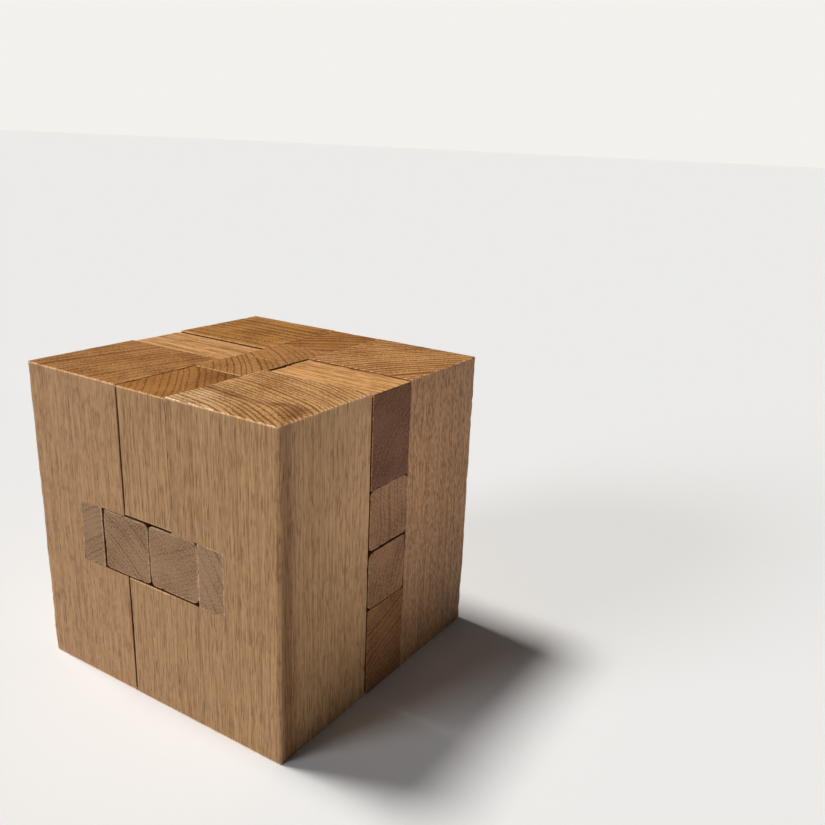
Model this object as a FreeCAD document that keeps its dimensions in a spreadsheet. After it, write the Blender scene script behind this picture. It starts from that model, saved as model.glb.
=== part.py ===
"""A six-piece burr puzzle filled out to a solid wooden cube.

Six square sticks cross in the middle, two along each axis.  Corner blocks, fillers and inset
strips are glued to five of them, so that the assembled puzzle is a plain cube.  Everything lies
on a grid of ten cells to the cube's edge, and a stick is two cells square.  The plain stick is
the key: it slides out along Y and frees the others.

X runs left to right, Y front to back and Z up.  The origin is the middle of the cube's base.
"""
import FreeCAD
import Part
import Sketcher
import os

CELLS = 10
AXES = "xyz"

# Driving dimensions in millimetres: alias, value and what it is.
DIMENSIONS = [
    ("cell", 7.5, "half the width of a stick, a tenth of the cube"),
    ("play", 0.25, "clearance round the key, on each side"),
    ("gap", 0.4, "open joint between two puzzle pieces"),
    ("snug", 0.1, "close joint between two puzzle pieces"),
    ("relief", 0.2, "extra room on each side of a notch"),
    ("stick_round", 0.9, "radius along a stick's long edges"),
    ("upright_round", 0.3, "radius along an upright stick's long edges"),
    ("corner_round", 0.8, "radius along the cube's upright corners"),
]

# The six sticks.  A face named in loose stands back by the dimension given, and a notch is
# given by its low and high cells.
KEY = dict(
    name="key_stick", low=(3, 0, 4), high=(5, 10, 6), along="y", rounding="stick_round",
    loose={"x-": "play", "x+": "play", "z-": "play", "z+": "play"},
)
LOCKED = dict(
    name="locked_stick", low=(5, 0, 4), high=(7, 10, 6), along="y", rounding="stick_round",
    loose={"z-": "gap", "z+": "snug"},
    notches=[((5, 3, 4), (6, 4, 6)), ((5, 6, 4), (6, 7, 6))],
)
UPPER_CROSS = dict(
    name="upper_cross_stick", low=(0, 4, 5), high=(10, 6, 7), along="x", rounding="stick_round",
    loose={"y-": "gap"},
    notches=[((3, 4, 5), (7, 6, 6))],
)
LOWER_CROSS = dict(
    name="lower_cross_stick", low=(0, 4, 3), high=(10, 6, 5), along="x", rounding="stick_round",
    loose={"y-": "gap", "y+": "snug", "z-": "snug", "z+": "gap"},
    notches=[((3, 4, 4), (7, 6, 5))],
)
FRONT_UPRIGHT = dict(
    name="front_upright_stick", low=(4, 3, 0), high=(6, 5, 10), along="z",
    rounding="upright_round", loose={"x+": "snug"},
    notches=[((4, 4, 3), (6, 5, 7)), ((4, 3, 4), (5, 4, 6))],
)
BACK_UPRIGHT = dict(
    name="back_upright_stick", low=(4, 5, 0), high=(6, 7, 10), along="z",
    rounding="upright_round", loose={"x+": "snug", "y-": "snug"},
    notches=[((4, 5, 3), (6, 6, 7)), ((4, 6, 4), (5, 7, 6))],
)
STICKS = [KEY, LOCKED, UPPER_CROSS, LOWER_CROSS, FRONT_UPRIGHT, BACK_UPRIGHT]


def corner_blocks():
    """The four full-height corner blocks, each with the slot that a Y stick runs through."""
    for row, y0, y1, loose in (("front", 0, 4, {}), ("back", 6, 10, {"y-": "gap"})):
        for side, x0, x1, slot in (("left", 0, 4, (2, 4)), ("right", 6, 10, (6, 8))):
            yield dict(
                name=f"{row}_{side}_block", low=(x0, y0, 0), high=(x1, y1, CELLS), along="z",
                rounding="corner_round", outer_edge_only=True,
                loose=loose if side == "left" else {},
                notches=[((slot[0], y0, 4), (slot[1], y1, 6))],
            )


def inset_strips():
    """The strips glued into the corner blocks' slots, beside the two Y sticks."""
    for row, y0, y1 in (("front", 0, 4), ("back", 6, 10)):
        for side, x0, x1 in (("left", 2, 3), ("right", 7, 8)):
            free = row == "back" and side == "right"
            yield dict(
                name=f"{row}_{side}_inset", low=(x0, y0, 4), high=(x1, y1, 6),
                loose={"x-": "snug"} if free else {},
            )


def fillers():
    """The eight fillers between the corner blocks, above and below the sticks' ends."""
    columns = {
        "front": ((4, 0), (6, 3), 4, 6, {"x-": "gap", "y+": "gap"}),
        "back": ((4, 7), (6, 10), 4, 6, {"x-": "gap", "y-": "snug"}),
        "left": ((0, 4), (4, 6), 3, 7, {}),
        "right": ((6, 4), (10, 6), 3, 7, {"x-": "gap", "y-": "gap"}),
    }
    for side, (near, far, below, above, loose) in columns.items():
        top_loose = dict(loose)
        if side == "left":
            top_loose["z-"] = "gap"
        yield dict(name=f"{side}_top_filler", low=(*near, above), high=(*far, CELLS),
                   loose=top_loose)
        yield dict(name=f"{side}_bottom_filler", low=(*near, 0), high=(*far, below),
                   loose=loose)


def make_sheet(doc):
    """The spreadsheet that holds the driving dimensions."""
    sheet = doc.addObject("Spreadsheet::Sheet", "dims")
    for row, (alias, value, meaning) in enumerate(DIMENSIONS, start=1):
        sheet.set(f"A{row}", meaning)
        sheet.set(f"B{row}", str(value))
        sheet.setAlias(f"B{row}", alias)
    doc.recompute()
    return sheet


def body_plane(body):
    """The body's own XY plane."""
    return next(item for item in body.Origin.OriginFeatures if item.Role == "XY_Plane")


def rectangle_sketch(body, name, limits, base):
    """A rectangle parallel to XY.  limits and base are expressions: west, east, south, north."""
    sketch = body.newObject("Sketcher::SketchObject", name)
    sketch.AttachmentSupport = [(body_plane(body), "")]
    sketch.MapMode = "FlatFace"
    sketch.setExpression("AttachmentOffset.Base.z", base)
    corners = [FreeCAD.Vector(*xy, 0) for xy in ((1, 1), (2, 1), (2, 2), (1, 2))]
    for start, end in zip(corners, corners[1:] + corners[:1]):
        sketch.addGeometry(Part.LineSegment(start, end))
    for line in range(4):
        sketch.addConstraint(Sketcher.Constraint("Coincident", line, 2, (line + 1) % 4, 1))
    for line in (0, 2):
        sketch.addConstraint(Sketcher.Constraint("Horizontal", line))
    for line in (1, 3):
        sketch.addConstraint(Sketcher.Constraint("Vertical", line))
    edges = (("DistanceX", 0, "west"), ("DistanceX", 1, "east"),
             ("DistanceY", 0, "south"), ("DistanceY", 2, "north"))
    for (kind, line, label), expression in zip(edges, limits):
        index = sketch.addConstraint(Sketcher.Constraint(kind, -1, 1, line, 1, 1.0))
        sketch.renameConstraint(index, label)
        sketch.setExpression(f"Constraints.{label}", expression)
    return sketch


def outline_limits(piece):
    """Expressions for the piece's low and high faces on each axis, from its own low corner."""
    limits = {}
    for axis, low, high in zip(AXES, piece["low"], piece["high"]):
        back = {end: piece["loose"].get(axis + end) for end in "-+"}
        limits[axis] = (
            f"dims.{back['-']}" if back["-"] else "0",
            f"{high - low} * dims.cell" + (f" - dims.{back['+']}" if back["+"] else ""),
        )
    return limits


def notch_limits(piece, notch):
    """Expressions for a notch, widened by its relief except where it runs out of a low face."""
    limits = {}
    for axis, origin, low, high in zip(AXES, piece["low"], *notch):
        start = f"{low - origin} * dims.cell - dims.relief" if low > origin else "0"
        limits[axis] = (start, f"{high - origin} * dims.cell + dims.relief")
    return limits


def slot_limits(piece, notch):
    """Expressions for a corner block's slot, cut to size so that its strip glues in."""
    return {
        axis: (f"{low - origin} * dims.cell", f"{high - origin} * dims.cell")
        for axis, origin, low, high in zip(AXES, piece["low"], *notch)
    }


def long_edges(piece, shape):
    """Names of the edges to round: those along the piece, or only the cube's own corner."""
    axis = AXES.index(piece["along"])
    found = []
    for index, edge in enumerate(shape.Edges, start=1):
        ends = [vertex.Point for vertex in edge.Vertexes]
        if abs(ends[0][axis] - ends[1][axis]) > 0.9 * edge.Length:
            found.append((f"Edge{index}", edge.CenterOfMass))
    if piece.get("outer_edge_only"):
        middle = [CELLS / 2 - low for low in piece["low"]]
        cell = shape.BoundBox.ZLength / CELLS
        found.sort(key=lambda item: (item[1].x / cell - middle[0]) ** 2
                   + (item[1].y / cell - middle[1]) ** 2)
        found = found[-1:]
    return [name for name, _ in found]


def cut_notch(doc, body, name, limits):
    """Pocket a rectangular notch upwards from its floor, and check that it removed wood."""
    before = body.Shape.Volume
    sketch = rectangle_sketch(body, f"{name}_outline", limits["x"] + limits["y"], limits["z"][0])
    pocket = body.newObject("PartDesign::Pocket", name)
    pocket.Profile = sketch
    pocket.Reversed = True
    pocket.setExpression("Length", f"{limits['z'][1]} - ({limits['z'][0]})")
    doc.recompute()
    if body.Shape.Volume > before - 1.0:
        raise RuntimeError(f"{name} cut nothing")


def make_piece(doc, piece):
    """One wooden piece: a padded outline, its rounded edges, then its notches."""
    name = piece["name"]
    body = doc.addObject("PartDesign::Body", name)
    body.Label = name
    limits = outline_limits(piece)
    outline = rectangle_sketch(body, f"{name}_outline", limits["x"] + limits["y"],
                               limits["z"][0])
    blank = body.newObject("PartDesign::Pad", f"{name}_blank")
    blank.Profile = outline
    blank.setExpression("Length", f"{limits['z'][1]} - ({limits['z'][0]})")
    doc.recompute()
    if "rounding" in piece:
        rounding = body.newObject("PartDesign::Fillet", f"{name}_rounding")
        rounding.Base = (blank, long_edges(piece, blank.Shape))
        rounding.setExpression("Radius", f"dims.{piece['rounding']}")
        doc.recompute()
    cutter = slot_limits if piece.get("outer_edge_only") else notch_limits
    for number, notch in enumerate(piece.get("notches", []), start=1):
        cut_notch(doc, body, f"{name}_notch_{number}", cutter(piece, notch))
    for axis, low, middle in zip(AXES, piece["low"], (CELLS / 2, CELLS / 2, 0)):
        body.setExpression(f"Placement.Base.{axis}", f"({low} - {middle}) * dims.cell")
    return body


def check(doc, bodies):
    """Stop before anything is written if an object failed or a piece isn't one sound solid."""
    failed = [item.Name for item in doc.Objects
              if "Invalid" in item.State or "Error" in item.State]
    if failed:
        raise RuntimeError(f"failed objects: {failed}")
    for body in bodies:
        shape = body.Shape
        if shape.isNull() or not shape.isValid() or len(shape.Solids) != 1:
            raise RuntimeError(f"{body.Label} isn't one valid solid")


def main():
    doc = FreeCAD.newDocument("burr_cube")
    make_sheet(doc)
    pieces = [*STICKS, *corner_blocks(), *inset_strips(), *fillers()]
    bodies = [make_piece(doc, piece) for piece in pieces]
    doc.recompute()
    check(doc, bodies)
    os.makedirs("parts", exist_ok=True)
    for body in bodies:
        body.Shape.exportStep(f"parts/{body.Label}.step")
        print(f"{body.Label}: {body.Shape.Volume / 1000:.2f} cm3")


main()
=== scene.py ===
"""The looks of the wooden burr puzzle cube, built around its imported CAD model.

Every piece of wood is remade as a detailed mesh: a finely divided block with worn, uneven
arrises and small chips, notched where its CAD node is notched.  One solid wood pattern (growth
rings round a pith, rays, fibres) is set up anew for each piece with its own grain direction and
pith, so that end grain and side grain agree at every corner.
"""

import math

import bpy
import numpy as np
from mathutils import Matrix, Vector


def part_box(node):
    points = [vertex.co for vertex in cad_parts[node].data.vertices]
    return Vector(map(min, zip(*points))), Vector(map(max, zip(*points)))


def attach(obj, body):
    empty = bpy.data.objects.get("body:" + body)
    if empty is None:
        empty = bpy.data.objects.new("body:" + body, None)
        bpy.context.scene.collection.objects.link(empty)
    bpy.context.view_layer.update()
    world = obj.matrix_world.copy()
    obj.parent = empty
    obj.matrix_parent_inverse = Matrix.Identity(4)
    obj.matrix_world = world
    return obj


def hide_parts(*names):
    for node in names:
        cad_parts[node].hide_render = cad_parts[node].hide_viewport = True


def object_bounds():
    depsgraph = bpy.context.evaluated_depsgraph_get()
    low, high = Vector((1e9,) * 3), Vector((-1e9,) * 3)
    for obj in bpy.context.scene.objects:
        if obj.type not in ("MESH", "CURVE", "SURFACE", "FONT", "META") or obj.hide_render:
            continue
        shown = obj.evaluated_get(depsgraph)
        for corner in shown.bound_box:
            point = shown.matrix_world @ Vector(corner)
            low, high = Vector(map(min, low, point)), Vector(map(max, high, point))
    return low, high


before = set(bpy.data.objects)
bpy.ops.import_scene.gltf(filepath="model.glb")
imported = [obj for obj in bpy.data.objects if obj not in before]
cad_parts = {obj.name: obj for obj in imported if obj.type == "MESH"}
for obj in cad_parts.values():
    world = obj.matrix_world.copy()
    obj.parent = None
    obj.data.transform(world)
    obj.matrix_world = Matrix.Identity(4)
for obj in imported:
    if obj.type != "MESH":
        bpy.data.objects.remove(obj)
cad_low, cad_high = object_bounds()

CELLS = 10
CELL = (cad_high.x - cad_low.x) / CELLS
CENTRE = (cad_low + cad_high) / 2
MM = 0.001
CELL_MM = CELL / MM
SEED = 7


# Places of the colour sockets in a mix node: factor, first, second and result.
MIX_FACTOR, MIX_FIRST, MIX_SECOND, MIX_RESULT = 0, 6, 7, 2


class Tree:
    """Short names for building the nodes of a material or a world."""

    def __init__(self, owner):
        owner.use_nodes = True
        self.nodes = owner.node_tree.nodes
        self.links = owner.node_tree.links

    def put(self, socket, value):
        """Link value if it is another node's output, otherwise set it."""
        if isinstance(value, bpy.types.NodeSocket):
            self.links.new(value, socket)
        else:
            socket.default_value = value

    def math(self, operation, *values):
        node = self.nodes.new("ShaderNodeMath")
        node.operation = operation
        for socket, value in zip(node.inputs, values):
            self.put(socket, value)
        return node.outputs[0]

    def vector(self, operation, *values, scale=None):
        node = self.nodes.new("ShaderNodeVectorMath")
        node.operation = operation
        for socket, value in zip(node.inputs, values):
            self.put(socket, value)
        if scale is not None:
            self.put(node.inputs["Scale"], scale)
        return node.outputs["Value" if operation in ("LENGTH", "DOT_PRODUCT") else "Vector"]

    def split(self, vector):
        node = self.nodes.new("ShaderNodeSeparateXYZ")
        self.links.new(vector, node.inputs[0])
        return node.outputs

    def combine(self, x, y, z):
        node = self.nodes.new("ShaderNodeCombineXYZ")
        for socket, value in zip(node.inputs, (x, y, z)):
            self.put(socket, value)
        return node.outputs[0]

    def noise(self, vector, scale=1.0, detail=2.0, roughness=0.5):
        node = self.nodes.new("ShaderNodeTexNoise")
        self.put(node.inputs["Vector"], vector)
        node.inputs["Scale"].default_value = scale
        node.inputs["Detail"].default_value = detail
        node.inputs["Roughness"].default_value = roughness
        return node.outputs[0]

    def centred_noise(self, *settings):
        """Noise about zero."""
        return self.math("SUBTRACT", self.noise(*settings), 0.5)

    def range(self, value, low, high, to_low=0.0, to_high=1.0):
        """A smooth step from to_low at low to to_high at high."""
        node = self.nodes.new("ShaderNodeMapRange")
        node.interpolation_type = "SMOOTHSTEP"
        for socket, given in zip(node.inputs, (value, low, high, to_low, to_high)):
            self.put(socket, given)
        return node.outputs[0]

    def mix(self, factor, first, second):
        """From the first colour at a factor of 0 or less to the second at 1 or more."""
        node = self.nodes.new("ShaderNodeMix")
        node.data_type = "RGBA"
        self.put(node.inputs[MIX_FACTOR], factor)
        self.put(node.inputs[MIX_FIRST], first)
        self.put(node.inputs[MIX_SECOND], second)
        return node.outputs[MIX_RESULT]

    def add_weighted(self, total, *parts):
        """total plus each part times its weight."""
        for value, weight in parts:
            total = self.math("MULTIPLY_ADD", value, weight, total)
        return total


# ---------------------------------------------------------------- stage, light and camera

def add_to_scene(name, data):
    thing = bpy.data.objects.new(name, data)
    bpy.context.scene.collection.objects.link(thing)
    return thing


def make_camera():
    """A phone-like lens close to the cube, which sits low and left in the frame."""
    lens = bpy.data.cameras.new("camera")
    lens.lens = 37.42
    lens.sensor_width = 36.0
    lens.shift_x = -0.0079
    lens.shift_y = 0.027
    lens.clip_start = 0.01
    camera = add_to_scene("camera", lens)
    cells_from_centre = Vector((18.393, -20.012, 11.677))
    tilt, roll, turn = 71.35, -2.47, 32.68
    camera.location = CENTRE + cells_from_centre * CELL
    camera.rotation_euler = [math.radians(angle) for angle in (tilt, roll, turn)]
    bpy.context.scene.camera = camera


def make_floor():
    """A plain pale floor, far larger than the view."""
    half = 30.0
    mesh = bpy.data.meshes.new("floor")
    corners = [(-half, -half, 0), (half, -half, 0), (half, half, 0), (-half, half, 0)]
    mesh.from_pydata(corners, [], [(0, 1, 2, 3)])
    floor = add_to_scene("floor", mesh)
    paint = bpy.data.materials.new("pale_floor")
    paint.use_nodes = True
    shader = paint.node_tree.nodes["Principled BSDF"]
    shader.inputs["Base Color"].default_value = (0.91, 0.94, 1.0, 1)
    shader.inputs["Roughness"].default_value = 1.0
    shader.inputs["Specular IOR Level"].default_value = 0.0
    mesh.materials.append(paint)


def sun(name, travel, strength, spread, colour):
    """A distant soft light whose rays run along travel."""
    data = bpy.data.lights.new(name, "SUN")
    data.energy = strength
    data.angle = math.radians(spread)
    data.color = colour
    light = add_to_scene(name, data)
    light.rotation_euler = Vector(travel).to_track_quat("-Z", "Y").to_euler()


def spot(name, position, aim, power, cone, size, colour):
    """A narrow soft-edged light from position towards aim, both from the cube's middle."""
    data = bpy.data.lights.new(name, "SPOT")
    data.energy = power
    data.spot_size = math.radians(cone)
    data.spot_blend = 1.0
    data.shadow_soft_size = size
    data.color = colour
    light = add_to_scene(name, data)
    light.location = CENTRE + Vector(position)
    light.rotation_euler = (Vector(aim) - Vector(position)).to_track_quat("-Z", "Y").to_euler()


def make_room():
    """A dim room with a bright band low on the far side, and a pale backdrop to look at."""
    dim, bright, backdrop = 0.03, 0.90, 0.88
    far_way = (-0.54, 0.84, 0.0)
    band_fades = (0.14, 0.34)
    side_starts = (0.3, 0.8)
    world = bpy.data.worlds.new("pale_room")
    t = Tree(world)
    direction = t.nodes.new("ShaderNodeTexCoord").outputs["Generated"]
    low_band = t.range(t.split(direction)["Z"], *band_fades, 1.0, 0.0)
    far_side = t.range(t.vector("DOT_PRODUCT", direction, far_way), *side_starts)
    lit = t.range(t.math("MULTIPLY", low_band, far_side), 0.0, 1.0, dim, bright)
    is_camera = t.nodes.new("ShaderNodeLightPath").outputs["Is Camera Ray"]
    seen = t.math("MULTIPLY", is_camera, backdrop)
    background = t.nodes["Background"]
    t.put(background.inputs["Strength"], t.math("MAXIMUM", lit, seen))
    background.inputs["Color"].default_value = (1.0, 0.98, 0.94, 1)
    return world


def make_light():
    """High warm light from the left, softer light from the front, a spot on the right face."""
    sun("key", travel=(0.42, 0.06, -0.90), strength=2.6, spread=14, colour=(1.0, 0.95, 0.86))
    sun("front_fill", travel=(0.42, 0.83, -0.37), strength=1.07, spread=25,
        colour=(0.98, 0.99, 1.0))
    spot("right_snoot", position=(0.9, -0.15, 0.12), aim=(0.0375, 0.003, 0.013), power=10.8,
         cone=6.2, size=0.03, colour=(1.0, 0.98, 0.95))
    bpy.context.scene.world = make_room()
    bpy.context.scene.view_settings.view_transform = "Standard"


# ---------------------------------------------------------------- the wood

# For each grain axis: the two axes of the section, then the grain's own.
SECTION_AXES = {"x": (1, 2, 0), "y": (0, 2, 1), "z": (0, 1, 2)}

# How fast each part of the figure changes, per mm: across, up and along the grain.
DASH_PITCH = (4.8, 4.8, 0.16)
FIBRE_PITCH = (2.4, 2.4, 0.07)
BROAD_PITCH = (0.5, 0.5, 0.02)
MOTTLE_PITCH = (1.9, 1.9, 0.65)
PORE_PITCH = (4.2, 4.2, 0.9)
TRUNK_PITCH = (1.0, 1.0, 0.15)
# The rays: round the trunk, outwards and along the grain.
RAY_PITCH = (4.0, 0.25, 0.36)
# The heights of a noise between which a mark in the wood starts to show and shows fully.
RAY_SHOWS = (0.50, 0.74)
DASH_SHOWS = (0.54, 0.72)
PORE_SHOWS = (0.5, 0.75)
FLUFF_SHOWS = (0.745, 0.79)
SPECK_SHOWS = (0.68, 0.76)

# What tints the wood's own colour, and the colour of the dirt and painted shade in the joints.
VEIN_TINT = (0.56, 0.46, 0.39)
WORN_TINT = (1.7, 1.9, 2.3)
# The colour of the dirt and painted shade just inside the joints.
DIRT_AND_SHADE = (0.105, 0.027, 0.003, 1)


def times(colour, factor):
    return (*[min(1.0, part * factor) for part in colour], 1)


def from_cells(cells):
    """Where a place on the cube's grid is, in mm from its low corner."""
    return [part * CELL_MM for part in cells]


class Look:
    """How one piece of beech looks.

    grain is the axis it grew along and pith the middle of its rings, in cells of the cube's
    grid on the other two axes.  ring is the width of a year in mm.  side and end are the light
    and dark colours of its long and end grain, in linear light.

    rings is how strongly the years show, late where in a year its dark wood starts and wander
    how far from round they are.  fleck, mottle, streak and rub are the strengths of the rays and
    dashes, the blotches, the fibres and the worn arrises.  The setting after rub is the strength
    of the dirt and painted shade just inside the joints.

    knot draws the rings in round a place on the section: (its place in cells, its size in mm,
    its pull in mm, the rings' share of the pull).  vein is one dark line, which feels all of
    the pull: (its radius, its half width) in mm.  Each of patches tints the end grain round a
    place: (its place in cells, its size in mm, tint, strength).
    """

    def __init__(self, grain, pith, ring, side, end, rings=1.0, late=0.45, wander=1.0,
                 fleck=1.0, mottle=1.0, streak=1.0, rub=1.0, dirt_and_shade=0.94, knot=None, vein=None,
                 patches=()):
        self.grain, self.pith, self.ring = grain, pith, ring
        self.side, self.end = side, end
        self.rings, self.late, self.wander = rings, late, wander
        self.fleck, self.mottle, self.streak = fleck, mottle, streak
        self.rub, self.dirt_and_shade = rub, dirt_and_shade
        self.knot, self.vein, self.patches = knot, vein, patches


class Beech(Tree):
    """The material of one piece, whose box runs from low to high."""

    def __init__(self, name, look, low, high):
        self.material = bpy.data.materials.new(name)
        super().__init__(self.material)
        self.shader = self.nodes["Principled BSDF"]
        self.look = look
        self.low = [(part - base) / MM for part, base in zip(low, cad_low)]
        self.high = [(part - base) / MM for part, base in zip(high, cad_low)]
        self.find_place()
        self.grow_trunk()
        self.grow_rings()
        self.grow_figure()
        colour = self.mix(self.is_end, self.side_colour(), self.end_colour())
        if look.vein:
            colour = self.veined(colour)
        colour = self.worn(colour)
        # Darkened just inside the joints: dirt and painted shade between the pieces.
        dirt_and_shade = self.joint_dirt_and_shade()
        colour = self.mix(self.math("MULTIPLY", dirt_and_shade, look.dirt_and_shade), colour, DIRT_AND_SHADE)
        self.put(self.shader.inputs["Base Color"], colour)
        self.finish_surface(dirt_and_shade)

    def stretched(self, pitch):
        """Where a point is from the pith, in units of a figure's own pitch."""
        across, up, along = pitch
        return self.combine(self.math("MULTIPLY", self.across, across),
                            self.math("MULTIPLY", self.up, up),
                            self.math("MULTIPLY", self.along, along))

    def find_place(self):
        """Where a point is: in mm from the cube's low corner, and from the pith."""
        place = self.nodes.new("ShaderNodeTexCoord")
        offset = self.vector("SUBTRACT", place.outputs["Object"], tuple(cad_low))
        self.here = self.vector("SCALE", offset, scale=1 / MM)
        self.parts = self.split(self.here)
        axes = SECTION_AXES[self.look.grain]
        self.pith = from_cells(self.look.pith)
        self.across = self.math("SUBTRACT", self.parts[axes[0]], self.pith[0])
        self.up = self.math("SUBTRACT", self.parts[axes[1]], self.pith[1])
        self.along = self.parts[axes[2]]
        middle = [(self.low[axis] + self.high[axis]) / 2 for axis in axes[:2]]
        self.mean_radius = math.hypot(middle[0] - self.pith[0], middle[1] - self.pith[1])
        grain_axis = [float(axis == self.look.grain) for axis in "xyz"]
        cosine = self.vector("DOT_PRODUCT", place.outputs["Normal"], grain_axis)
        side_until, end_from = 0.55, 0.85
        self.is_end = self.range(self.math("ABSOLUTE", cosine), side_until, end_from)

    def grow_trunk(self):
        """The radius and the way round a trunk that wasn't quite round or straight."""
        bend_scale, bend_mm = 0.045, 7.0 * self.look.wander
        ripple_scale, ripple_mm = 0.25, 1.3 * self.look.wander
        self.local = self.stretched(TRUNK_PITCH)
        bend = self.centred_noise(self.local, bend_scale, 1.0)
        ripple = self.centred_noise(self.local, ripple_scale, 2.0)
        radius = self.vector("LENGTH", self.combine(self.across, self.up, 0.0))
        radius = self.add_weighted(radius, (bend, bend_mm), (ripple, ripple_mm))
        self.vein_path = radius
        if self.look.knot:
            place, size, pull, ring_share = self.look.knot
            centre = from_cells(place)
            to_knot = self.combine(self.math("SUBTRACT", self.across, centre[0] - self.pith[0]),
                                   self.math("SUBTRACT", self.up, centre[1] - self.pith[1]), 0.0)
            far = self.math("DIVIDE", self.vector("LENGTH", to_knot), size)
            squared = self.math("MULTIPLY", far, far)
            near = self.math("EXPONENT", self.math("MULTIPLY", squared, -1.0))
            self.vein_path = self.add_weighted(radius, (near, -pull))
            radius = self.add_weighted(radius, (near, -pull * ring_share))
        self.radius = radius
        self.around = self.math("MULTIPLY", self.math("ARCTAN2", self.up, self.across),
                                self.mean_radius)

    def grow_rings(self):
        """Growth rings: uneven years, each darkening towards its late wood."""
        spells_per_year, years_out, noise_slice = 0.3, 1.8, 3.1
        darkest, year_ends = 0.92, 0.93
        slow = self.noise(self.combine(self.radius, 0.0, noise_slice),
                          spells_per_year / self.look.ring, 1.0)
        years = self.math("DIVIDE", self.radius, self.look.ring)
        years = self.add_weighted(years, (slow, years_out))
        phase = self.math("FRACT", years)
        late = self.math("MULTIPLY", self.range(phase, self.look.late, darkest),
                         self.range(phase, 1.0, year_ends))
        white = self.nodes.new("ShaderNodeTexWhiteNoise")
        white.noise_dimensions = "1D"
        self.put(white.inputs["W"], self.math("FLOOR", years))
        palest_year, spread = 0.35, 0.8
        depth = self.math("MULTIPLY_ADD", white.outputs["Value"], spread, palest_year)
        self.rings = self.math("MULTIPLY", late, depth)

    def grow_figure(self):
        """Rays, short dashes, fibres, blotches, pores and slow changes of tone."""
        round_pitch, out_pitch, along_pitch = RAY_PITCH
        ray_place = self.combine(self.math("MULTIPLY", self.around, round_pitch),
                                 self.math("MULTIPLY", self.radius, out_pitch),
                                 self.math("MULTIPLY", self.along, along_pitch))
        self.rays = self.range(self.noise(ray_place, 1.0, 1.0), *RAY_SHOWS)
        self.dashes = self.range(self.noise(self.stretched(DASH_PITCH), 1.0, 1.0), *DASH_SHOWS)
        self.fibres = self.centred_noise(self.stretched(FIBRE_PITCH), 1.0, 3.0, 0.6)
        self.broad = self.centred_noise(self.stretched(BROAD_PITCH))
        self.mottle = self.centred_noise(self.stretched(MOTTLE_PITCH), 1.0, 2.0, 0.6)
        self.pores = self.noise(self.stretched(PORE_PITCH), 1.0, 1.0)
        self.cloud = self.noise(self.local, 0.11, 3.0, 0.55)
        self.cloudy = self.math("SUBTRACT", self.cloud, 0.5)

    def side_colour(self):
        """Long grain: fine streaks and dashes, with a few pale wisps of raised fibre."""
        look = self.look
        dark = self.add_weighted(
            self.math("MULTIPLY_ADD", self.rings, 0.30 * min(look.rings, 1.0), 0.17),
            (self.rays, 0.50 * look.fleck), (self.dashes, 1.2 * look.fleck),
            (self.fibres, 2.0 * look.streak), (self.broad, 0.4 * look.streak),
            (self.mottle, 1.05 * look.mottle), (self.cloudy, 0.25))
        colour = self.mix(dark, (*look.side[0], 1), (*look.side[1], 1))
        fluff = self.range(self.noise(self.here, 1.5, 2.0, 0.7), *FLUFF_SHOWS)
        return self.mix(self.math("MULTIPLY", fluff, 0.6), colour, times(look.side[0], 1.4))

    def end_colour(self):
        """End grain: rings, pores, the thin pale lines of the rays, and pale specks."""
        look = self.look
        dark = self.add_weighted(
            self.math("MULTIPLY_ADD", self.rings, 1.1 * look.rings, 0.10),
            (self.fibres, 3.6), (self.range(self.pores, *PORE_SHOWS), 0.7),
            (self.cloudy, 1.6), (self.rays, -0.07 * look.fleck))
        colour = self.mix(dark, (*look.end[0], 1), (*look.end[1], 1))
        speck = self.range(self.noise(self.here, 2.2, 1.0), *SPECK_SHOWS)
        colour = self.mix(self.math("MULTIPLY", speck, 0.5), colour, times(look.end[0], 1.6))
        for place, size, tint, amount in look.patches:
            away = self.vector("LENGTH", self.vector("SUBTRACT", self.here, from_cells(place)))
            away = self.add_weighted(away, (self.cloudy, size * 0.8))
            strength = self.math("MULTIPLY", self.range(away, size, size * 0.3), amount)
            colour = self.mix(strength, colour, self.vector("MULTIPLY", colour, tint))
        return colour

    def veined(self, colour):
        """One dark line along a year, drawn in towards the knot and fainter in places."""
        radius, width = self.look.vein
        off = self.math("ABSOLUTE", self.math("SUBTRACT", self.vein_path, radius))
        strength = self.math("MULTIPLY", self.range(off, width, width * 0.1),
                             self.range(self.cloud, 0.3, 0.6, 0.5, 1.0))
        return self.mix(strength, colour, self.vector("MULTIPLY", colour, VEIN_TINT))

    def inside(self, low, high, axis):
        """How far a point is inside the slab from low to high, in mm, along an axis."""
        off = self.math("ABSOLUTE", self.math("SUBTRACT", self.parts[axis], (low + high) / 2))
        return self.math("SUBTRACT", (high - low) / 2, off)

    def middle_of(self, first, second, third):
        """The middle one of three distances to the faces, which is that to an arris."""
        least = self.math("MINIMUM", first, second)
        most = self.math("MAXIMUM", first, second)
        return self.math("MAXIMUM", least, self.math("MINIMUM", most, third))

    def worn(self, colour):
        """Worn arrises are paler, in places, and mostly near the end grain."""
        starts_mm, full_mm = 0.44, 0.10
        least_patchy, least_along_grain = 0.3, 0.12
        gaps = [self.inside(self.low[axis], self.high[axis], axis) for axis in range(3)]
        patchy = self.range(self.noise(self.here, 0.9, 2.0, 0.6), 0.32, 0.52, least_patchy, 1.0)
        to_end = gaps["xyz".index(self.look.grain)]
        at_end = self.range(to_end, 0.9, 0.3, least_along_grain, 1.0)
        to_arris = self.middle_of(*gaps)
        worn = self.math("MULTIPLY", self.range(to_arris, starts_mm, full_mm), patchy)
        worn = self.math("MULTIPLY", worn, self.math("MULTIPLY", at_end, self.look.rub))
        return self.mix(worn, colour, self.vector("MULTIPLY", colour, WORN_TINT))

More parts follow.
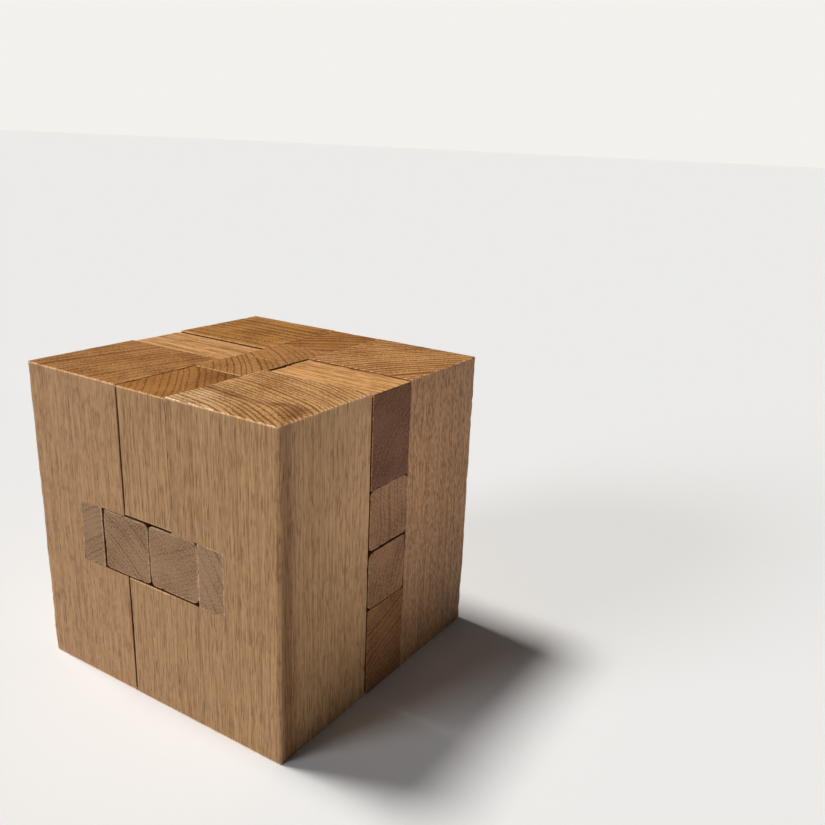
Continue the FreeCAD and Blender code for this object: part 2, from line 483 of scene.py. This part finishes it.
    def joint_dirt_and_shade(self):
        """Dirt and painted shade just inside the joints, but not along the cube's own arrises.

        It depends on how far a point lies below the cube's outside, which is the piece's own
        face where it has one there.  All the distances are in mm.
        """
        at_face, starts, stops, off_arris = 1.0, (0.06, 0.28), (3.5, 0.8), (0.3, 1.0)
        depths = []
        for axis in range(3):
            outer_low, outer_high = 0.0, CELLS * CELL_MM
            if self.low[axis] < at_face:
                outer_low = self.low[axis]
            if self.high[axis] > outer_high - at_face:
                outer_high = self.high[axis]
            depths.append(self.inside(outer_low, outer_high, axis))
        below = self.math("MINIMUM", self.math("MINIMUM", depths[0], depths[1]), depths[2])
        second = self.middle_of(*depths)
        # Darkest a little way into a joint and fading deeper in: painted shade and dirt.
        dirt_and_shade = self.math("MULTIPLY", self.range(below, *starts), self.range(below, *stops))
        return self.math("MULTIPLY", dirt_and_shade, self.range(second, *off_arris))

    def finish_surface(self, dirt_and_shade):
        """Roughness, a weak gloss, and the fine relief of the fibres, rays and pores."""
        rough = self.add_weighted(self.range(self.cloud, 0.3, 0.7, 0.46, 0.58),
                                  (self.pores, 0.16), (self.is_end, 0.12), (dirt_and_shade, 0.25))
        self.put(self.shader.inputs["Roughness"], rough)
        self.shader.inputs["Specular IOR Level"].default_value = 0.2
        relief = self.add_weighted(self.math("MULTIPLY", self.fibres, 1.2),
                                   (self.rays, -0.5), (self.pores, 0.5), (self.mottle, 0.5))
        bump = self.nodes.new("ShaderNodeBump")
        bump.inputs["Strength"].default_value = 0.7
        bump.inputs["Distance"].default_value = 0.07 * MM
        self.put(bump.inputs["Height"], relief)
        self.links.new(bump.outputs["Normal"], self.shader.inputs["Normal"])


# ---------------------------------------------------------------- the blocks

# An arris is divided at these parts of EDGE_STEP from it, so that it can be rounded.
EDGE_STOPS = (0, 0.12, 0.3, 0.55, 1.0, 1.6)
EDGE_STEP = 0.9 * MM
# An arris's radius wanders: the spacing of its changes, and their share of the radius.
UNEVEN = ((6 * MM, 0.28), (1.3 * MM, 0.20))
# A chip's half width, its strength, and how much a full one adds to the radius.
CHIPS_PER_ARRIS = 3
CHIP_WIDTH = (0.4, 1.1)
CHIP_DEPTH = (0.3, 1.0)
CHIP_REACH = 0.45 * MM
# Extra room on each side of a notch, as in the CAD model.
RELIEF = 0.2 * MM


def grid_stops(length):
    """Stops from 0 to length: close together near both ends, about a millimetre in between."""
    near = [EDGE_STEP * part for part in EDGE_STOPS]
    count = max(2, round((length - 2 * near[-1]) / MM))
    middle = np.linspace(near[-1], length - near[-1], count + 1)[1:-1]
    return np.array([*near, *middle, *[length - stop for stop in reversed(near)]])


def grid_box(low, high):
    """Vertices and faces of a closed box, each face a grid on the stops of its two axes."""
    stops = [lo + grid_stops(hi - lo) for lo, hi in zip(low, high)]
    index, points, faces = {}, [], []

    def vertex(key):
        if key not in index:
            index[key] = len(points)
            points.append([stops[axis][key[axis]] for axis in range(3)])
        return index[key]

    for axis in range(3):
        first, second = (axis + 1) % 3, (axis + 2) % 3
        for end in (0, len(stops[axis]) - 1):
            for i in range(len(stops[first]) - 1):
                for j in range(len(stops[second]) - 1):
                    ring = [(i, j), (i + 1, j), (i + 1, j + 1), (i, j + 1)]
                    if end == 0:
                        ring.reverse()
                    face = []
                    for a, b in ring:
                        key = [0, 0, 0]
                        key[axis], key[first], key[second] = end, a, b
                        face.append(vertex(tuple(key)))
                    faces.append(face)
    return np.array(points), faces


def smooth_noise(position, length, random):
    """A random line with a knot about every length, read at the positions."""
    knots = np.arange(position.min() - length, position.max() + 2 * length, length)
    values = random.uniform(-1, 1, len(knots))
    return np.interp(position, knots, values)


def worn_radius(position, base, start, stop, chip_rate, bites, random):
    """The radius of an arris at each position along it, from start to stop."""
    radius = base * (1 + sum(share * smooth_noise(position, length, random)
                             for length, share in UNEVEN))
    chip = np.zeros(len(position))
    for _ in range(random.poisson(chip_rate)):
        middle = random.uniform(start, stop)
        width = random.uniform(*CHIP_WIDTH) * MM
        depth = random.uniform(*CHIP_DEPTH)
        chip = np.maximum(chip, depth * np.exp(-((position - middle) / width) ** 2))
    radius = radius + chip * CHIP_REACH
    for middle, width, depth in bites:
        radius = radius + depth * np.exp(-((position - middle) / width) ** 4)
    return radius


def wear_edges(points, low, high, radii, chips, bites, random):
    """Round each of the twelve arrises by its own uneven radius, with a chip here and there.

    chips says how many there are on an arris, if not the usual number.  A bite is one more
    chip on an arris: where its middle is, how wide and how deep.
    """
    nearly_zero = 1e-9
    for axis in range(3):
        first, second = (axis + 1) % 3, (axis + 2) % 3
        for side_1 in (0, 1):
            for side_2 in (0, 1):
                arris = (axis, side_1, side_2)
                radius = worn_radius(points[:, axis], radii(*arris), low[axis], high[axis],
                                     chips.get(arris, CHIPS_PER_ARRIS), bites.get(arris, ()),
                                     random)
                edge_1 = (low, high)[side_1][first]
                edge_2 = (low, high)[side_2][second]
                sign_1, sign_2 = 2 * side_1 - 1, 2 * side_2 - 1
                in_1 = sign_1 * (points[:, first] - edge_1) + radius
                in_2 = sign_2 * (points[:, second] - edge_2) + radius
                near = (in_1 > 0) & (in_2 > 0)
                reach = np.maximum(np.hypot(in_1, in_2), nearly_zero)
                shrink = np.where(near, np.minimum(1, radius / reach), 1)
                points[near, first] = (edge_1 + sign_1 * (in_1 * shrink - radius))[near]
                points[near, second] = (edge_2 + sign_2 * (in_2 * shrink - radius))[near]


def cut(piece, low, high):
    """Take a box out of a piece's mesh.

    The solver is the manifold one because the exact one gives a wrong mesh now and then.
    """
    corners = [(x, y, z) for z in (low[2], high[2]) for y in (low[1], high[1])
               for x in (low[0], high[0])]
    faces = [(0, 2, 3, 1), (4, 5, 7, 6), (0, 1, 5, 4), (2, 6, 7, 3), (0, 4, 6, 2), (1, 3, 7, 5)]
    mesh = bpy.data.meshes.new("notch")
    mesh.from_pydata(corners, [], faces)
    mesh.materials.append(piece.data.materials[0])
    tool = add_to_scene("notch", mesh)
    change = piece.modifiers.new("notch", "BOOLEAN")
    change.operation = "DIFFERENCE"
    change.solver = "MANIFOLD"
    change.object = tool
    bpy.context.view_layer.update()
    graph = bpy.context.evaluated_depsgraph_get()
    result = bpy.data.meshes.new_from_object(piece.evaluated_get(graph))
    piece.modifiers.clear()
    old = piece.data
    piece.data = result
    bpy.data.meshes.remove(old)
    bpy.data.objects.remove(tool)
    bpy.data.meshes.remove(mesh)


def notch_box(notch, relief, box):
    """A notch's corners in metres from its cells, run out past any face that it reaches."""
    reaches, past = 0.5 * MM, 1.0 * MM
    low, high = [], []
    for axis in range(3):
        start, stop = (cad_low[axis] + notch[end][axis] * CELL for end in (0, 1))
        start, stop = start - relief, stop + relief
        if start < box[0][axis] + reaches:
            start = box[0][axis] - past
        if stop > box[1][axis] - reaches:
            stop = box[1][axis] + past
        low.append(start)
        high.append(stop)
    return low, high


# How far a face stands proud of its CAD face, in mm: (axis, 0 low or 1 high): height.
PROUD = {
    "front_right_block": {(1, 1): -0.30, (2, 1): 0.14},
    "front_left_block": {(2, 1): 0.05},
    "back_left_block": {(1, 0): -0.30, (2, 1): 0.05},
    "back_right_block": {(2, 1): 0.03},
    "front_top_filler": {(0, 0): 0.18, (2, 0): -0.30, (2, 1): -0.09},
    "back_top_filler": {(0, 0): 0.25, (2, 1): -0.06},
    "front_upright_stick": {(2, 1): -0.05},
    "back_upright_stick": {(2, 1): -0.03},
    "left_top_filler": {(2, 1): -0.22},
    "right_top_filler": {(0, 0): 0.05, (1, 1): 0.05, (2, 1): -0.25},
    "front_left_inset": {(0, 1): -0.25},
    "key_stick": {(1, 0): -0.08},
    "locked_stick": {(0, 0): -0.12, (0, 1): -0.08, (1, 0): -0.04},
    "upper_cross_stick": {(0, 1): -0.05, (2, 0): -0.12, (2, 1): -0.06},
    "lower_cross_stick": {(0, 1): -0.09, (2, 0): -0.10},
}
# How many chips the torn arrises have: (axis along it, then side 0 low or 1 high on the next
# two axes): number.
TORN = {
    "front_right_block": {(0, 0, 1): 14, (1, 1, 0): 8},
    "back_right_block": {(0, 0, 1): 22, (1, 1, 1): 12},
    "right_top_filler": {(0, 1, 1): 16},
    "front_left_block": {(0, 0, 1): 8},
    "upper_cross_stick": {(1, 0, 1): 8},
}
# Wider hollows in an arris: middle and half width in cells, depth in mm.
BITES = {
    "right_top_filler": {
        (1, 1, 0): [(4.4, 0.45, 0.5)],
        (0, 1, 1): [(6.5, 0.6, 0.35), (7.8, 0.25, 0.3), (9.4, 0.2, 0.3)],
    },
    "front_left_block": {(2, 1, 0): [(8, 2.1, 0.38), (2, 2.1, 0.20)]},
    "front_top_filler": {(2, 0, 0): [(8, 2.1, 0.42)], (0, 0, 0): [(5, 1.2, 0.25)]},
    "front_bottom_filler": {(2, 0, 0): [(2, 2.1, 0.22)]},
}


def wooden_piece(node, look, radii, notches=(), relief=RELIEF):
    """Make the detailed piece that stands for one CAD node."""
    random = np.random.default_rng([SEED, *node.encode()])
    low, high = (np.array(corner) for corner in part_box(node))
    for (axis, end), height in PROUD.get(node, {}).items():
        (low, high)[end][axis] += height * MM * (2 * end - 1)
    points, faces = grid_box(low, high)
    bites = {arris: [(cad_low[arris[0]] + middle * CELL, width * CELL, depth * MM)
                     for middle, width, depth in given]
             for arris, given in BITES.get(node, {}).items()}
    wear_edges(points, low, high, radii, TORN.get(node, {}), bites, random)
    mesh = bpy.data.meshes.new(node)
    mesh.from_pydata(points.tolist(), [], faces)
    mesh.materials.append(Beech(node, look, low, high).material)
    piece = add_to_scene(node + "_wood", mesh)
    for notch in notches:
        cut(piece, *notch_box(notch, relief, (low, high)))
    piece.data.shade_smooth()
    piece.data.set_sharp_from_angle(angle=math.radians(35))
    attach(piece, "key" if node == "key_stick" else "cube")
    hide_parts(node)


def edge_radii(long_axis, long_mm, end_mm, cube_corner=None):
    """A function giving an arris's radius.

    Arrises along long_axis get long_mm and the rest end_mm.  cube_corner is the side (0 low,
    1 high) of a block that has one upright corner of the cube, in X and in Y: its other
    upright arrises are seams.
    """
    seam_mm = 0.12

    def radius(axis, side_1, side_2):
        if cube_corner is not None and axis == 2:
            return (long_mm if (side_1, side_2) == cube_corner else seam_mm) * MM
        return (long_mm if axis == "xyz".index(long_axis) else end_mm) * MM
    return radius


# ---------------------------------------------------------------- the pieces

# Colours of long and end grain, light and dark, in linear light.
TAWNY = ((0.530, 0.310, 0.150), (0.270, 0.138, 0.058))
ROSY = ((0.540, 0.310, 0.155), (0.275, 0.138, 0.060))
RUDDY = ((0.445, 0.242, 0.118), (0.215, 0.098, 0.041))
HONEY = ((0.760, 0.405, 0.155), (0.300, 0.122, 0.031))
BRIGHT_HONEY = ((0.830, 0.445, 0.165), (0.330, 0.134, 0.034))
END_AMBER = ((0.535, 0.248, 0.056), (0.200, 0.066, 0.006))
END_OCHRE = ((0.460, 0.196, 0.042), (0.175, 0.054, 0.004))
END_RED = ((0.515, 0.238, 0.068), (0.185, 0.064, 0.010))
END_PALE = ((0.690, 0.380, 0.150), (0.240, 0.096, 0.020))
END_GOLD = ((0.640, 0.322, 0.113), (0.216, 0.079, 0.013))
END_GREY = ((0.395, 0.237, 0.132), (0.177, 0.093, 0.047))
END_BROWN = ((0.327, 0.167, 0.086), (0.149, 0.070, 0.032))
END_RUST = ((0.300, 0.135, 0.052), (0.135, 0.056, 0.018))
END_DARK = ((0.178, 0.079, 0.040), (0.086, 0.034, 0.016))
# Tints of patches.
PALER = (1.22, 1.48, 2.15)
DARKER = (0.62, 0.52, 0.42)

# Radii of arrises, in mm.
STICK_LONG = {"x": 1.5, "y": 1.35, "z": 0.3}
STICK_END = 0.18
CUBE_CORNER, BLOCK_END = 0.8, 0.22
INSET_EDGE = 0.1
FILLER_LONG, FILLER_END = 0.15, 0.18


def build_sticks():
    looks = {
        "key_stick": Look("y", (-1, -1.2), 1.0, TAWNY, END_GREY, rings=0.6, late=0.3,
                          wander=0.6, dirt_and_shade=0.45),
        "locked_stick": Look("y", (9.6, -2.2), 1.1, TAWNY, END_GREY, rings=0.3, late=0.3,
                             wander=0.6),
        "upper_cross_stick": Look("x", (-30, 6), 1.6, TAWNY, END_BROWN, rings=0.7, late=0.5,
                                  rub=0.5),
        "lower_cross_stick": Look("x", (12, 0.6), 1.5, TAWNY, END_BROWN, rings=0.8, late=0.5,
                                  rub=0.4),
        "front_upright_stick": Look("z", (-5, -7), 1.5, TAWNY, END_RED, rings=0.95, late=0.6,
                                    wander=0.25),
        "back_upright_stick": Look("z", (-3.2, -6.6), 1.7, TAWNY, END_RED, rings=1.0, late=0.6,
                                   wander=0.2, rub=0.3),
    }
    # Each notch runs from a low to a high corner, in cells.
    notches = {
        "locked_stick": [((5, 3, 4), (6, 4, 6)), ((5, 6, 4), (6, 7, 6))],
        "upper_cross_stick": [((3, 4, 5), (7, 6, 6))],
        "lower_cross_stick": [((3, 4, 4), (7, 6, 5))],
        "front_upright_stick": [((4, 4, 3), (6, 5, 7)), ((4, 3, 4), (5, 4, 6))],
        "back_upright_stick": [((4, 5, 3), (6, 6, 7)), ((4, 6, 4), (5, 7, 6))],
    }
    for node, look in looks.items():
        radii = edge_radii(look.grain, STICK_LONG[look.grain], STICK_END)
        wooden_piece(node, look, radii, notches.get(node, ()))


def build_corner_blocks():
    knot = ((9.35, 1.6), 0.95 * CELL_MM, 0.95 * CELL_MM, 0.15)
    vein = (8.5 * CELL_MM, 0.24 * CELL_MM)
    patches = [((6, 0, 10), 15.0, PALER, 0.8), ((9.5, 1.2, 10), 5.2, DARKER, 0.9)]
    looks = {
        "front_left_block": Look("z", (24, -3), 2.3, ROSY, END_RED, rings=0.7, late=0.15,
                                 wander=0.4, fleck=0.6, mottle=1.1, streak=1.2, rub=1.7),
        "front_right_block": Look("z", (5.5, -7), 1.25, TAWNY, END_PALE, rings=1.65, late=0.4,
                                  wander=0.3, mottle=0.6, rub=1.4, knot=knot, vein=vein,
                                  patches=patches),
        "back_left_block": Look("z", (2, -50), 2.9, ROSY, END_AMBER, rings=0.8, late=0.1,
                                wander=0.3, fleck=0.5, mottle=1.6, rub=1.7),
        "back_right_block": Look("z", (29, -5.3), 1.9, RUDDY, END_GOLD, rings=1.5, late=0.3,
                                 wander=0.2, mottle=3.0),
    }
    # The side of each block that has the cube's corner, in X and Y, and the block's slot.
    corners = {
        "front_left_block": ((0, 0), ((2, 0, 4), (4, 4, 6))),
        "front_right_block": ((1, 0), ((6, 0, 4), (8, 4, 6))),
        "back_left_block": ((0, 1), ((2, 6, 4), (4, 10, 6))),
        "back_right_block": ((1, 1), ((6, 6, 4), (8, 10, 6))),
    }
    for node, (corner, slot) in corners.items():
        radii = edge_radii("z", CUBE_CORNER, BLOCK_END, corner)
        wooden_piece(node, looks[node], radii, [slot], relief=0.0)


def build_insets():
    looks = {
        "front_left_inset": Look("y", (7, -1.5), 1.3, TAWNY, END_GREY, rings=0.5, late=0.4,
                                 wander=0.5),
        "front_right_inset": Look("y", (0.6, 1), 2.6, TAWNY, END_GREY, rings=0.6, late=0.6,
                                  wander=0.4),
        "back_left_inset": Look("y", (-4, 2), 1.5, TAWNY, END_GREY, rings=0.7, late=0.5),
        "back_right_inset": Look("y", (12, 9), 1.4, TAWNY, END_GREY, rings=0.7, late=0.5),
    }
    for node, look in looks.items():
        wooden_piece(node, look, edge_radii("y", INSET_EDGE, INSET_EDGE))


def build_fillers():
    patch = ((5.6, 2.6, 10), 9.0, DARKER, 0.6)
    looks = {
        "front_top_filler": Look("z", (-5.9, -8.7), 1.5, TAWNY, END_OCHRE, rings=0.8, late=0.6,
                                 wander=0.25, mottle=0.7, patches=[patch]),
        "front_bottom_filler": Look("z", (-1, -4), 2.0, TAWNY, END_OCHRE, late=0.6, wander=0.4,
                                    mottle=0.7),
        "back_top_filler": Look("z", (14.3, -3.2), 3.2, ROSY, END_OCHRE, rings=1.1, late=0.2,
                                wander=0.5, rub=0.5),
        "back_bottom_filler": Look("z", (11, 1), 1.5, ROSY, END_OCHRE, late=0.4, wander=0.5),
        "left_top_filler": Look("x", (12, 24), 1.9, HONEY, END_BROWN, late=0.5, streak=2.2),
        "left_bottom_filler": Look("x", (-3, -5), 1.9, HONEY, END_BROWN, late=0.5, streak=1.3),
        "right_top_filler": Look("x", (12, 2), 1.4, BRIGHT_HONEY, END_DARK, rings=0.5, late=0.5,
                                 streak=2.0, rub=0.25),
        "right_bottom_filler": Look("x", (7.7, -3.9), 1.5, HONEY, END_RUST, late=0.5, rub=0.25),
    }
    for node, look in looks.items():
        wooden_piece(node, look, edge_radii(look.grain, FILLER_LONG, FILLER_END))


make_camera()
make_floor()
make_light()
build_sticks()
build_corner_blocks()
build_insets()
build_fillers()
